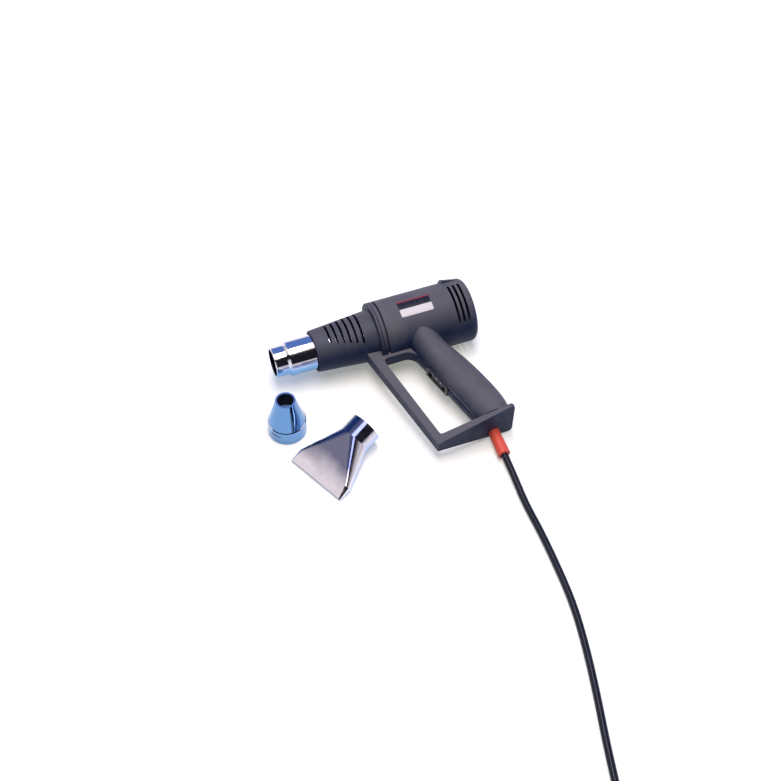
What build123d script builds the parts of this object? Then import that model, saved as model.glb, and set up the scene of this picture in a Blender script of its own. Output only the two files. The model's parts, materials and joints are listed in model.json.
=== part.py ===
from build123d import *
import os
from math import asin, atan, atan2, cos, degrees, pi, radians, sin, sqrt, tan

os.makedirs("parts", exist_ok=True)

# A corded hot-air gun with a D-shaped guard handle, lying on its side, with a cone nozzle
# standing and a fishtail nozzle lying beside it. Lengths are in millimetres.
# The gun is drawn with X along the barrel from the outlet mouth to the rear, the handle
# towards -Y and the parting plane of the two case halves at Z = 0.

# Driving sizes of the barrel
overall_length = 218.0
housing_radius = 34.2
case_wall = 2.6
flange_start = 110.0
flange_width = 3.4
shroud_start = 44.0
shroud_mouth_radius = 22.3
shroud_tail_radius = 27.6
shroud_wall = 2.2

# Driving sizes of the handle, guard and foot
grip_root = 129.0
grip_rake = 17.7
guard_half = 7.0
foot_half = 24.0
foot_front_x = 126.0
foot_front_y = 153.5
foot_end_x = 212.0
foot_end_y = 144.4
foot_top_y = 140.6

# Clearances, and one overrun for every cut
slip = 0.1
running = 0.05
gap = 0.2
cut = 60.0

# Where the gun, as it lies, touches the floor: the housing and the low rear edge of the foot
rest_reach = sqrt(foot_end_y**2 + foot_half**2)
rest_roll = degrees(asin(housing_radius / rest_reach) - atan2(foot_half, foot_end_y))

# Places of the two nozzles in plan, from the outlet mouth
cone_x = -5.5
cone_y = -62.0
cone_collar_radius = 20.0
fishtail_x = 1.0
fishtail_y = -134.0
fishtail_turn = 26.0
fan_width = 71.0

# Origin on the floor, under the middle of the gun and its nozzles
lowest_y = fishtail_y - fan_width / 2 * cos(radians(fishtail_turn))
middle_x = (overall_length + cone_x - cone_collar_radius) / 2
middle_y = (housing_radius + lowest_y) / 2
gun_rest = Location((-middle_x, -middle_y, housing_radius), (rest_roll, 0, 0))


def write(builder, name, place=gun_rest):
    """Label a finished piece and write it where it lies."""
    builder.part.label = name
    export_step(builder.part.moved(place), f"parts/{name}.step")


def turn(points):
    """Revolve a closed outline, given as distance along the barrel and radius."""
    with BuildSketch(Plane.XY) as profile:
        with BuildLine():
            Polyline(*points, close=True)
        make_face()
    revolve(profile.sketch, axis=Axis.X)


def station(x):
    """Plane square to the barrel, its X towards the top of the gun and its Y across it."""
    return Plane.YZ.offset(x)


# Handle frame: distance runs down the straight front line of the grip, depth runs rearwards
rake_sin = sin(radians(grip_rake))
rake_cos = cos(radians(grip_rake))


def grip_point(distance, depth=0.0):
    """Point of the parting plane, from its distance down the grip and depth behind its front."""
    return (
        grip_root + distance * rake_sin + depth * rake_cos,
        -distance * rake_cos + depth * rake_sin,
    )


def grip_plane(distance, depth=0.0):
    """Plane square to the grip, its X rearwards and its Y across the gun."""
    x, y = grip_point(distance, depth)
    return Plane(origin=(x, y, 0), x_dir=(rake_cos, rake_sin, 0), z_dir=(rake_sin, -rake_cos, 0))


def grip_front_plane(depth):
    """Plane along the front of the grip, its X down the grip and its Z out of the front."""
    x, y = grip_point(0, depth)
    return Plane(origin=(x, y, 0), x_dir=(rake_sin, -rake_cos, 0), z_dir=(-rake_cos, -rake_sin, 0))


# Case: oval sections of the grip, as shares of its length, greatest depth and least half width
grip_wall = 2.4
grip_length = foot_top_y / rake_cos
grip_depth = 42.1
grip_half = 17.1
grip_section_shares = (
    (0.061, 1.240, 1.870),
    (0.149, 1.040, 1.605),
    (0.271, 0.869, 1.310),
    (0.420, 0.893, 1.088),
    (0.610, 0.983, 1.000),
    (0.800, 1.000, 1.012),
    (0.928, 0.974, 1.099),
)
grip_sections = [
    (along * grip_length, deep * grip_depth, wide * grip_half)
    for along, deep, wide in grip_section_shares
]
grip_foot_half = 20.2
grip_end_inset = 0.8

# Case: guard and its finger opening, as points of the outer edge and of the hole
guard_top_x = 95.0
guard_top_y = 26.2
opening_top_x = 108.2
opening_top_y = 37.4
opening_front_x = 132.6
opening_front_y = 143.6
opening_radius = 4.0
opening_inset = 1.2
neck_radius = 14.0
foot_corner_radius = 5.0
edge_radius = 0.9

# Case: grooves round the front of the housing and its rounded rear end
seam_chamfer = 0.7
front_ring = 2.8
groove_width = 2.6
groove_depth = 2.7
rear_rounding = 6.0
ledge_radius = 28.8
ledge_end = 121.0
rear_wall = 3.0

# Case: raised pad over the top near the rear, falling rearwards, and the intake slots
pad_start = 194.0
pad_crest = 196.4
pad_end = 211.0
pad_height = 2.8
pad_sweep = 104.0
rear_slot_start = 197.4
rear_slot_pitch = 5.5
rear_slot_width = 2.6
rear_slot_count = 3
rear_slot_top = 12.4
rear_slot_bottom = -28.0

# Case: ribs that hold the motor mount
mount_start = 176.0
mount_width = 8.0
rib_thickness = 1.6
rib_height = 2.8

# Case screws: seven alike, all seated at one height
screw_seat = 4.2
screw_head_radius = 2.7
screw_head_height = 2.1
screw_shank_radius = 1.45
screw_shank_length = 10.0
screw_well_radius = 2.9
screw_hole_radius = 1.7
boss_radius = 4.3
screw_guard_shares = ((0.475, 0.216), (0.604, 0.967))
screw_grip_shares = ((0.935, 0.760), (0.718, 0.808), (0.339, 0.475))
screw_barrel_shares = ((0.945, 0.789), (0.592, 0.778))
screw_points = (
    *((along * overall_length, -down * foot_front_y) for along, down in screw_guard_shares),
    *(grip_point(along * grip_length, deep * grip_depth) for along, deep in screw_grip_shares),
    *((along * overall_length, up * housing_radius) for along, up in screw_barrel_shares),
)

# Switch in the front of the grip
switch_middle = 81.5
bezel_length = 35.0
bezel_width = 14.0
bezel_proud = 1.0
bezel_thickness = 2.6
bezel_corner = 1.6
slider_length = 17.6
slider_width = 7.6
slider_recess = 0.5
slider_travel = 4.5
slider_rib_count = 5
slider_rib_width = 0.9
slider_rib_height = 0.4
slider_foot_thickness = 1.2
slider_foot_end = 3.0
slider_foot_side = 1.4
switch_body_length = 31.0
switch_body_width = 13.6
switch_body_depth = 13.0
switch_neck_length = 22.0
switch_neck_width = 9.0
switch_neck_depth = 1.8
cradle_thickness = 1.6
cradle_depth = 8.0

# Cord, its boot at the foot and the clamp inside
cord_diameter = 7.5
cord_radius = cord_diameter / 2
boot_x = 190.2
boot_side = -13.0
boot_root_radius = 5.9
boot_end_radius = 6.7
boot_length = 29.5
boot_edge = 0.9
boot_seat = 0.8
boot_neck_radius = 4.7
boot_flange = 1.5
boot_flange_radius = 6.6
boot_flange_low = 4.4
foot_wall = 2.0
foot_side_wall = 2.2
cord_tail_inside = 7.6
clamp_width = 5.0
clamp_length = 22.0
clamp_thickness = 2.6
clamp_bite = 1.0
clamp_screw_span = 16.4
clamp_boss_radius = 2.3
clamp_head_radius = 2.0
clamp_head_height = 1.5
clamp_shank_radius = 1.0
clamp_shank_length = 4.0

case_start = flange_start + flange_width
groove_start = case_start + front_ring
main_start = groove_start + groove_width
foot_slope = (foot_front_y - foot_end_y) / (foot_end_x - foot_front_x)
foot_swell = (foot_half - guard_half) / (foot_end_x - foot_front_x)
pocket_floor = foot_end_y - foot_wall
bezel_back = bezel_thickness - bezel_proud
slider_foot_depth = bezel_back + slip + slider_foot_thickness
switch_top = slider_foot_depth + slip


def foot_outer_y(x):
    """How far the outer face of the foot lies from the barrel axis."""
    return foot_front_y - (x - foot_front_x) * foot_slope


def foot_half_at(x):
    """Half width of the foot."""
    return guard_half + (x - foot_front_x) * foot_swell


def boot_flange_outline(margin):
    """Outline of the boot's flange: a disc cut flat on the side of the foot's wall."""
    with BuildSketch() as outline:
        Circle(boot_flange_radius + margin)
        with Locations((0, boot_flange_radius - boot_flange_low)):
            Rectangle(cut, 2 * (boot_flange_radius + margin), mode=Mode.INTERSECT)
    return outline.sketch


boot_wall_y = foot_outer_y(boot_x)
clamp_y = -(pocket_floor - boot_flange - slip - clamp_width / 2)
clamp_z = boot_side + cord_radius - clamp_bite
clamp_points = ((boot_x - clamp_screw_span / 2, clamp_y), (boot_x + clamp_screw_span / 2, clamp_y))

# Outer form of the whole case, before it is hollowed and split
with BuildPart() as case_form:
    # Foot: a bar seen from the side, widening towards the rear
    with BuildSketch(Plane.XY):
        with BuildLine():
            Polyline(
                (foot_front_x, -foot_front_y),
                (foot_end_x, -foot_end_y),
                (foot_end_x, -foot_top_y),
                (opening_front_x, -opening_front_y),
                close=True,
            )
        make_face()
    extrude(amount=foot_half, both=True)
    with BuildSketch(Plane.XZ):
        with BuildLine():
            Polyline(
                (foot_front_x, -guard_half),
                (foot_end_x, -foot_half),
                (foot_end_x, foot_half),
                (foot_front_x, guard_half),
                close=True,
            )
        face = make_face()
        fillet(face.vertices().group_by(Axis.X)[-1], foot_corner_radius)
    extrude(amount=foot_front_y + cut, mode=Mode.INTERSECT)
    # Guard: the sloping front leg and the bar under the barrel, round the finger opening
    with BuildSketch(Plane.XY):
        with BuildLine():
            Polyline(
                (guard_top_x, -guard_top_y),
                (foot_front_x, -foot_front_y),
                (foot_end_x - foot_corner_radius, -foot_outer_y(foot_end_x - foot_corner_radius)),
                grip_point(grip_length, 3 * grip_wall),
                grip_point(guard_top_y, 3 * grip_wall),
                close=True,
            )
        make_face()
        with BuildSketch(mode=Mode.PRIVATE) as opening:
            with BuildLine():
                Polyline(
                    (opening_top_x, -opening_top_y),
                    (opening_front_x, -opening_front_y),
                    grip_point(grip_length, opening_inset),
                    grip_point(opening_top_y / rake_cos, opening_inset),
                    close=True,
                )
            face = make_face()
            corners = face.vertices().sort_by(Axis.Y)
            fillet(corners[:3], opening_radius)
            fillet(opening.vertices().sort_by(lambda v: v.X + 2 * v.Y)[-1], neck_radius)
        add(opening.sketch, mode=Mode.SUBTRACT)
    extrude(amount=guard_half, both=True)
    # Barrel housing with its two grooves and rounded rear edge
    with BuildSketch(Plane.XY):
        with BuildLine():
            Polyline(
                (case_start, 0),
                (case_start, housing_radius - seam_chamfer),
                (case_start + seam_chamfer, housing_radius),
                (groove_start, housing_radius),
                (groove_start + groove_width / 3, housing_radius - groove_depth),
                (main_start - groove_width / 3, housing_radius - groove_depth),
                (main_start, housing_radius),
                (overall_length, housing_radius),
                (overall_length, 0),
                close=True,
            )
        face = make_face()
        fillet(face.vertices().sort_by(lambda v: v.X + v.Y)[-1], rear_rounding)
    revolve(axis=Axis.X)
    # Grip: oval sections down the handle, spreading into the barrel and into the foot
    for distance, depth, half_width in grip_sections:
        with BuildSketch(grip_plane(distance, depth / 2)):
            Ellipse(depth / 2, half_width)
    grip_low_x = grip_point(grip_length)[0]
    grip_end_half = (foot_end_x - grip_end_inset - grip_low_x) / 2
    grip_end_plane = Plane(
        origin=(grip_low_x + grip_end_half, -foot_top_y, 0), x_dir=(1, 0, 0), z_dir=(0, -1, 0)
    )
    with BuildSketch(grip_end_plane):
        Ellipse(grip_end_half, grip_foot_half)
    loft()
    # Pad over the top of the housing
    with BuildSketch(Plane.XY.rotated((-pad_sweep / 2, 0, 0))):
        with BuildLine():
            Polyline(
                (pad_start, housing_radius - case_wall / 2),
                (pad_start, housing_radius),
                (pad_crest, housing_radius + pad_height),
                (pad_end, housing_radius),
                (pad_end, housing_radius - case_wall / 2),
                close=True,
            )
        make_face()
    revolve(axis=Axis.X, revolution_arc=pad_sweep)

# Inside of the case as one core: duct, grip and foot, less the bosses, ribs and cradle
with BuildPart() as case_core:
    turn(
        (
            (case_start - gap, 0),
            (case_start - gap, ledge_radius),
            (ledge_end, ledge_radius),
            (ledge_end, housing_radius - case_wall),
            (overall_length - rear_wall - case_wall, housing_radius - case_wall),
            (overall_length - rear_wall, housing_radius - 2 * case_wall),
            (overall_length - rear_wall, 0),
        )
    )
    for distance, depth, half_width in grip_sections:
        with BuildSketch(grip_plane(distance, depth / 2)):
            Ellipse(depth / 2 - grip_wall, half_width - grip_wall)
    with BuildSketch(grip_end_plane):
        Ellipse(grip_end_half - grip_wall, grip_foot_half - grip_wall)
    loft()
    # Pocket of the foot
    pocket_start = grip_low_x + 2 * grip_wall
    pocket_end = foot_end_x - foot_side_wall
    with BuildSketch(Plane.XZ.offset(foot_top_y - slip)):
        with BuildLine():
            Polyline(
                (pocket_start, foot_side_wall - foot_half_at(pocket_start)),
                (pocket_end, foot_side_wall - foot_half_at(pocket_end)),
                (pocket_end, foot_half_at(pocket_end) - foot_side_wall),
                (pocket_start, foot_half_at(pocket_start) - foot_side_wall),
                close=True,
            )
        face = make_face()
        fillet(face.vertices().group_by(Axis.X)[-1], foot_corner_radius - foot_side_wall)
    extrude(amount=pocket_floor - foot_top_y + slip)
    # Ribs each side of the motor mount
    for rib_x in (mount_start - slip - rib_thickness, mount_start + mount_width + slip):
        with BuildSketch(station(rib_x)):
            Circle(housing_radius)
            Circle(housing_radius - case_wall - rib_height, mode=Mode.SUBTRACT)
        extrude(amount=rib_thickness, mode=Mode.SUBTRACT)
    # Cradle ribs above and below the switch body
    cradle_middle = (switch_body_length + cradle_thickness) / 2 + slip
    with BuildSketch(grip_front_plane(0)):
        with Locations(
            (switch_middle - cradle_middle, 0),
            (switch_middle + cradle_middle, 0),
        ):
            Rectangle(cradle_thickness, cut)
    extrude(amount=-switch_top - switch_neck_depth - cradle_depth, mode=Mode.SUBTRACT)
    # Bosses of the case screws, and of the cord clamp in the lower half
    with BuildSketch(Plane.XY.offset(-cut)):
        with Locations(*screw_points):
            Circle(boss_radius)
    extrude(amount=2 * cut, mode=Mode.SUBTRACT)
    with BuildSketch(Plane.XY.offset(clamp_z)):
        with Locations(*clamp_points):
            Circle(clamp_boss_radius)
    extrude(amount=-cut, mode=Mode.SUBTRACT)

# Front shroud: a slotted cone with a flange, and a tail with a bead held inside the case
slot_start = 60.9
slot_pitch = 6.7
slot_width = 2.4
slot_count = 6
slot_half = 12.2
slot_growth = 1.7
slot_centre = 1.6
bead_radius = 30.8
bead_width = 2.0
tail_wall = 2.4
tube_seat = 105.0
seat_thickness = 2.2
tube_radius = 18.75
tube_waist_start = 43.6
tube_waist_radius = 18.0
tube_screw_radius = 21.9
tube_screw_count = 3
tube_screw_shank = 1.25
tube_boss_radius = 2.8
tube_boss_length = 6.0
shroud_slope = (shroud_tail_radius - shroud_mouth_radius) / (flange_start - shroud_start)


def shroud_radius(x):
    """Outer radius of the shroud's cone."""
    return shroud_mouth_radius + (x - shroud_start) * shroud_slope


seat_start = tube_seat - seat_thickness
bead_start = ledge_end + slip
tail_radius = ledge_radius - gap
with BuildPart() as front_shroud:
    turn(
        (
            (shroud_start, shroud_mouth_radius - shroud_wall),
            (shroud_start, shroud_mouth_radius - seam_chamfer),
            (shroud_start + seam_chamfer, shroud_mouth_radius),
            (flange_start, shroud_tail_radius),
            (flange_start, housing_radius - seam_chamfer),
            (flange_start + seam_chamfer, housing_radius),
            (case_start - seam_chamfer, housing_radius),
            (case_start, housing_radius - seam_chamfer),
            (case_start, tail_radius),
            (bead_start, tail_radius),
            (bead_start, bead_radius),
            (bead_start + bead_width, bead_radius),
            (bead_start + bead_width, tail_radius - tail_wall),
            (flange_start, tail_radius - tail_wall),
            (tube_seat, shroud_radius(tube_seat) - shroud_wall),
            (tube_seat, tube_waist_radius + gap),
            (seat_start, tube_waist_radius + gap),
            (seat_start, shroud_radius(seat_start) - shroud_wall),
        )
    )
    # Bosses behind which the tube's flange is screwed
    with BuildSketch(station(tube_seat - tube_boss_length)):
        with PolarLocations(tube_screw_radius, tube_screw_count):
            Circle(tube_boss_radius)
    extrude(amount=tube_boss_length)
    with BuildSketch(station(tube_seat - tube_boss_length)):
        with PolarLocations(tube_screw_radius, tube_screw_count):
            Circle(tube_screw_shank)
        Circle(tube_waist_radius + gap)
    extrude(amount=tube_boss_length, mode=Mode.SUBTRACT)
    # Air slots of growing height, in both sides
    with BuildSketch(Plane.XY):
        for index in range(slot_count):
            with Locations((slot_start + index * slot_pitch, slot_centre)):
                SlotOverall(2 * (slot_half + index * slot_growth), slot_width, rotation=90)
    extrude(amount=cut, both=True, mode=Mode.SUBTRACT)
write(front_shroud, "front_shroud")

# Room that the shroud and its flange take in the guard
with BuildPart() as shroud_room:
    turn(
        (
            (shroud_start, 0),
            (shroud_start, shroud_mouth_radius + gap),
            (flange_start - gap, shroud_tail_radius + gap),
            (flange_start - gap, housing_radius + gap),
            (case_start, housing_radius + gap),
            (case_start, 0),
        )
    )


def case_half(keep):
    """One half of the case, with its side of every slot, pocket and seat."""
    with BuildPart() as half:
        add(case_form.part)
        add(shroud_room.part, mode=Mode.SUBTRACT)
        add(case_core.part, mode=Mode.SUBTRACT)
        split(bisect_by=Plane.XY, keep=keep)
        # Intake slots at the rear of the barrel
        with BuildSketch(Plane.XY):
            for index in range(rear_slot_count):
                with Locations(
                    (rear_slot_start + index * rear_slot_pitch, (rear_slot_top + rear_slot_bottom) / 2)
                ):
                    SlotOverall(rear_slot_top - rear_slot_bottom, rear_slot_width, rotation=90)
        extrude(amount=cut, both=True, mode=Mode.SUBTRACT)
        # Seat of the switch bezel, and the hole behind it
        with BuildSketch(grip_front_plane(bezel_back)):
            with Locations((switch_middle, 0)):
                RectangleRounded(
                    bezel_length + 2 * slip, bezel_width + 2 * slip, bezel_corner + slip
                )
        extrude(amount=bezel_thickness + grip_wall, mode=Mode.SUBTRACT)
        with BuildSketch(grip_front_plane(bezel_back)):
            with Locations((switch_middle, 0)):
                Rectangle(
                    slider_length + 2 * (slider_travel + slider_foot_end + gap),
                    slider_width + 2 * (slider_foot_side + gap),
                )
        extrude(amount=-2 * grip_wall, mode=Mode.SUBTRACT)
    return half


upper = case_half(Keep.TOP)
lower = case_half(Keep.BOTTOM)

# Upper half: pilot holes for the screws
with BuildPart() as upper_case:
    add(upper.part)
    with BuildSketch(Plane.XY):
        with Locations(*screw_points):
            Circle(screw_shank_radius)
    extrude(amount=screw_shank_length - screw_seat + gap, mode=Mode.SUBTRACT)
write(upper_case, "upper_case")

# Lower half: screw wells, pilot holes of the clamp and the hole for the cord boot
boot_plane = Plane(origin=(boot_x, -boot_wall_y, boot_side), x_dir=(1, 0, 0), z_dir=(0, -1, 0))
with BuildPart() as lower_case:
    add(lower.part)
    with BuildSketch(Plane.XY):
        with Locations(*screw_points):
            Circle(screw_hole_radius)
    extrude(amount=-cut, mode=Mode.SUBTRACT)
    with BuildSketch(Plane.XY.offset(-screw_seat)):
        with Locations(*screw_points):
            Circle(screw_well_radius)
    extrude(amount=-cut, mode=Mode.SUBTRACT)
    with BuildSketch(Plane.XY.offset(clamp_z)):
        with Locations(*clamp_points):
            Circle(clamp_shank_radius)
    extrude(amount=-clamp_shank_length, mode=Mode.SUBTRACT)
    with BuildSketch(boot_plane.offset(-boot_seat)):
        Circle(boot_root_radius + slip)
    extrude(amount=cut, mode=Mode.SUBTRACT)
    with BuildSketch(boot_plane):
        Circle(boot_neck_radius + slip)
    extrude(amount=-2 * (boot_wall_y - pocket_floor), mode=Mode.SUBTRACT)
    with BuildSketch(boot_plane.offset(pocket_floor - boot_wall_y)):
        add(boot_flange_outline(slip))
    extrude(amount=-boot_flange - slip, mode=Mode.SUBTRACT)
write(lower_case, "lower_case")

# Case screws, heads towards the lower side
with BuildPart() as case_screws:
    with BuildSketch(Plane.XY.offset(-screw_seat)):
        with Locations(*screw_points):
            Circle(screw_head_radius)
    extrude(amount=-screw_head_height)
    with BuildSketch(Plane.XY.offset(-screw_seat)):
        with Locations(*screw_points):
            Circle(screw_shank_radius)
    extrude(amount=screw_shank_length)
write(case_screws, "case_screws")

# Label on the upper side of the barrel: a thin curved plate
label_start = 138.4
label_length = 35.4
label_height = 19.0
label_middle = -1.7
label_thickness = 0.35
label_corner = 1.0
with BuildPart() as label_plate:
    with BuildSketch(station(label_start)):
        Circle(housing_radius + running + label_thickness)
        Circle(housing_radius + running, mode=Mode.SUBTRACT)
    extrude(amount=label_length)
    with BuildSketch(Plane.XY):
        with Locations((label_start + label_length / 2, label_middle)):
            RectangleRounded(label_length, label_height, label_corner)
    extrude(amount=cut, mode=Mode.INTERSECT)
write(label_plate, "label_plate")

# Outlet tube of chromed sheet: a stepped tip for the fishtail, a main bore for the cone
tip_radius = 16.2
tip_length = 13.4
tip_lip = 0.9
shoulder_length = 2.8
tube_sheet = 0.8
tube_flange_radius = 24.4
with BuildPart() as outlet_tube:
    turn(
        (
            (0, tip_radius - tip_lip),
            (tip_lip, tip_radius),
            (tip_length, tip_radius),
            (tip_length + shoulder_length, tube_radius),
            (tube_waist_start, tube_radius),
            (tube_waist_start, tube_waist_radius),
            (tube_seat, tube_waist_radius),
            (tube_seat, tube_flange_radius),
            (tube_seat + tube_sheet, tube_flange_radius),
            (tube_seat + tube_sheet, tube_waist_radius - tube_sheet),
            (tube_waist_start - tube_sheet, tube_waist_radius - tube_sheet),
            (tube_waist_start - tube_sheet, tube_radius - tube_sheet),
            (tip_length + shoulder_length + tube_sheet / 2, tube_radius - tube_sheet),
            (tip_length + tube_sheet / 2, tip_radius - tube_sheet),
            (tip_lip, tip_radius - tube_sheet),
            (0, tip_radius - tip_lip - tube_sheet),
        )
    )
    with BuildSketch(station(tube_seat)):
        with PolarLocations(tube_screw_radius, tube_screw_count):
            Circle(tube_screw_shank + slip)
    extrude(amount=tube_sheet, mode=Mode.SUBTRACT)
write(outlet_tube, "outlet_tube")

# Steel ring that presses the tube's flange on its seat, and its screws
ring_thickness = 1.2
ring_start = tube_seat + tube_sheet
tube_head_radius = 2.3
tube_head_height = 1.7
with BuildPart() as tube_ring:
    with BuildSketch(station(ring_start)):
        Circle(tube_flange_radius)
        Circle(tube_waist_radius - tube_sheet, mode=Mode.SUBTRACT)
        with PolarLocations(tube_screw_radius, tube_screw_count):
            Circle(tube_screw_shank + slip, mode=Mode.SUBTRACT)
    extrude(amount=ring_thickness)
write(tube_ring, "tube_ring")

with BuildPart() as tube_screws:
    with BuildSketch(station(ring_start + ring_thickness)):
        with PolarLocations(tube_screw_radius, tube_screw_count):
            Circle(tube_head_radius)
    extrude(amount=tube_head_height)
    with BuildSketch(station(ring_start + ring_thickness)):
        with PolarLocations(tube_screw_radius, tube_screw_count):
            Circle(tube_screw_shank)
    extrude(amount=-tube_boss_length)
write(tube_screws, "tube_screws")

# Heater: mica sleeve, ceramic former with six bores, coil strands, end discs and tie rod
sleeve_thickness = 0.6
sleeve_start = 20.0
former_start = 26.0
former_end = 94.0
former_bore_count = 6
former_bore_radius = 3.9
former_bore_circle = 10.9
strand_radius = 3.8
strand_wire = 0.35
strand_margin = 1.5
disc_thickness = 1.0
disc_bore_radius = 3.0
rod_radius = 1.9
rod_head_radius = 4.0
rod_head_height = 1.8
rod_tail = 9.0
nut_radius = 3.6
nut_height = 2.4
bracket_thickness = 0.8
bracket_width = 12.0
bracket_reach = 14.0
cutout_radius = 5.4
cutout_height = 4.4
cutout_offset = 9.6
sleeve_radius = tube_waist_radius - tube_sheet - slip
former_radius = sleeve_radius - sleeve_thickness - gap
with BuildPart() as mica_sleeve:
    with BuildSketch(station(sleeve_start)):
        Circle(sleeve_radius)
        Circle(sleeve_radius - sleeve_thickness, mode=Mode.SUBTRACT)
    extrude(amount=tube_seat - sleeve_start)
write(mica_sleeve, "mica_sleeve")

with BuildPart() as heater_former:
    with BuildSketch(station(former_start)):
        Circle(former_radius)
        with PolarLocations(former_bore_circle, former_bore_count):
            Circle(former_bore_radius, mode=Mode.SUBTRACT)
        Circle(rod_radius + slip, mode=Mode.SUBTRACT)
    extrude(amount=former_end - former_start)
write(heater_former, "heater_former")

with BuildPart() as heater_strands:
    with BuildSketch(station(former_start + strand_margin)):
        with PolarLocations(former_bore_circle, former_bore_count):
            Circle(strand_radius)
            Circle(strand_radius - strand_wire, mode=Mode.SUBTRACT)
    extrude(amount=former_end - former_start - 2 * strand_margin)
write(heater_strands, "heater_strands")

with BuildPart() as heater_discs:
    for disc_x in (former_start - disc_thickness, former_end):
        with BuildSketch(station(disc_x)):
            Circle(former_radius)
            with PolarLocations(former_bore_circle, former_bore_count):
                Circle(disc_bore_radius, mode=Mode.SUBTRACT)
            Circle(rod_radius + slip, mode=Mode.SUBTRACT)
        extrude(amount=disc_thickness)
write(heater_discs, "heater_discs")

bracket_start = former_end + disc_thickness
with BuildPart() as heater_rod:
    with BuildSketch(station(former_start - disc_thickness)):
        Circle(rod_head_radius)
    extrude(amount=-rod_head_height)
    with BuildSketch(station(former_start - disc_thickness)):
        Circle(rod_radius)
    extrude(amount=bracket_start - former_start + disc_thickness + rod_tail)
write(heater_rod, "heater_rod")

with BuildPart() as rod_nut:
    with BuildSketch(station(bracket_start + bracket_thickness)):
        RegularPolygon(nut_radius, 6)
        Circle(rod_radius + slip / 2, mode=Mode.SUBTRACT)
    extrude(amount=nut_height)
write(rod_nut, "rod_nut")

with BuildPart() as cutout_bracket:
    with BuildSketch(station(bracket_start)):
        with Locations((bracket_reach / 2 - rod_head_radius / 2, 0)):
            RectangleRounded(bracket_reach + rod_head_radius, bracket_width, rod_radius)
        Circle(rod_radius + slip, mode=Mode.SUBTRACT)
    extrude(amount=bracket_thickness)
write(cutout_bracket, "cutout_bracket")

with BuildPart() as thermal_cutout:
    with BuildSketch(station(bracket_start + bracket_thickness)):
        with Locations((cutout_offset, 0)):
            Circle(cutout_radius)
    extrude(amount=cutout_height)
    fillet(thermal_cutout.faces().sort_by(Axis.X)[-1].edges(), disc_thickness / 2)
write(thermal_cutout, "thermal_cutout")

# Fan: hub and pitched blades on the motor shaft
fan_start = 146.0
hub_radius = 8.5
hub_length = 13.0
blade_count = 7
fan_clearance = 3.0
blade_tip_radius = housing_radius - case_wall - fan_clearance
blade_thickness = 1.3
blade_chord = 13.5
blade_pitch = 40.0
shaft_radius = 1.6
shaft_start = 144.5
shaft_end = 198.2
with BuildPart() as fan_blade:
    with BuildSketch(Plane.XY.offset(hub_radius * cos(radians(blade_pitch)))):
        with Locations((fan_start + hub_length / 2, 0)):
            SlotOverall(blade_chord, blade_thickness, rotation=blade_pitch)
    extrude(amount=blade_tip_radius)
    with BuildSketch(station(fan_start)):
        Circle(blade_tip_radius)
    extrude(amount=hub_length, mode=Mode.INTERSECT)
with BuildPart() as fan_wheel:
    with BuildSketch(station(fan_start)):
        Circle(hub_radius)
    extrude(amount=hub_length)
    fillet(fan_wheel.edges().group_by(Axis.X)[0], 2 * rod_radius)
    with Locations(*(Location((0, 0, 0), (i * 360 / blade_count, 0, 0)) for i in range(blade_count))):
        add(fan_blade.part)
    with BuildSketch(station(fan_start)):
        Circle(shaft_radius + running)
    extrude(amount=hub_length, mode=Mode.SUBTRACT)
write(fan_wheel, "fan_wheel")

with BuildPart() as motor_shaft:
    with BuildSketch(station(shaft_start)):
        Circle(shaft_radius)
    extrude(amount=shaft_end - shaft_start)
write(motor_shaft, "motor_shaft")

# Motor: can, end cap, bushes, magnets and armature
can_start = 164.0
can_end = 196.0
can_radius = 15.5
can_sheet = 1.2
can_nose = 3.0
can_nose_radius = 5.2
bush_radius = 3.6
bush_length = 5.0
cap_thickness = 3.2
cap_spigot = 2.0
magnet_thickness = 2.6
magnet_start = 168.0
magnet_length = 22.0
magnet_gap = 9.0
core_start = 170.0
core_length = 18.0
core_radius = 10.6
core_slot_count = 5
core_slot_width = 3.0
core_slot_depth = 5.0
commutator_radius = 4.2
commutator_length = 4.5
with BuildPart() as motor_can:
    turn(
        (
            (can_start - can_nose, bush_radius),
            (can_start - can_nose, can_nose_radius),
            (can_start, can_nose_radius),
            (can_start, can_radius),
            (can_end, can_radius),
            (can_end, can_radius - can_sheet),
            (can_start + can_sheet, can_radius - can_sheet),
            (can_start + can_sheet, bush_radius),
        )
    )
write(motor_can, "motor_can")

with BuildPart() as motor_cap:
    turn(
        (
            (can_end - cap_spigot, bush_radius),
            (can_end - cap_spigot, can_radius - can_sheet - slip),
            (can_end, can_radius - can_sheet - slip),
            (can_end, can_radius),
            (can_end + cap_thickness, can_radius),
            (can_end + cap_thickness, bush_radius),
        )
    )
write(motor_cap, "motor_cap")

with BuildPart() as motor_bushes:
    for bush_x in (can_start - can_nose, can_end + cap_thickness - bush_length):
        with BuildSketch(station(bush_x)):
            Circle(bush_radius)
            Circle(shaft_radius + running, mode=Mode.SUBTRACT)
        extrude(amount=bush_length)
write(motor_bushes, "motor_bushes")

with BuildPart() as motor_magnets:
    with BuildSketch(station(magnet_start)):
        Circle(can_radius - can_sheet)
        Circle(can_radius - can_sheet - magnet_thickness, mode=Mode.SUBTRACT)
        Rectangle(2 * can_radius, magnet_gap, mode=Mode.SUBTRACT)
    extrude(amount=magnet_length)
write(motor_magnets, "motor_magnets")

with BuildPart() as armature:
    with BuildSketch(station(core_start)):
        Circle(core_radius)
        with PolarLocations(core_radius, core_slot_count):
            Rectangle(2 * core_slot_depth, core_slot_width, mode=Mode.SUBTRACT)
    extrude(amount=core_length)
    with BuildSketch(station(core_start + core_length)):
        Circle(commutator_radius)
    extrude(amount=commutator_length)
    with BuildSketch(station(core_start)):
        Circle(shaft_radius + running)
    extrude(amount=core_length + commutator_length, mode=Mode.SUBTRACT)
write(armature, "armature")

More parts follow.
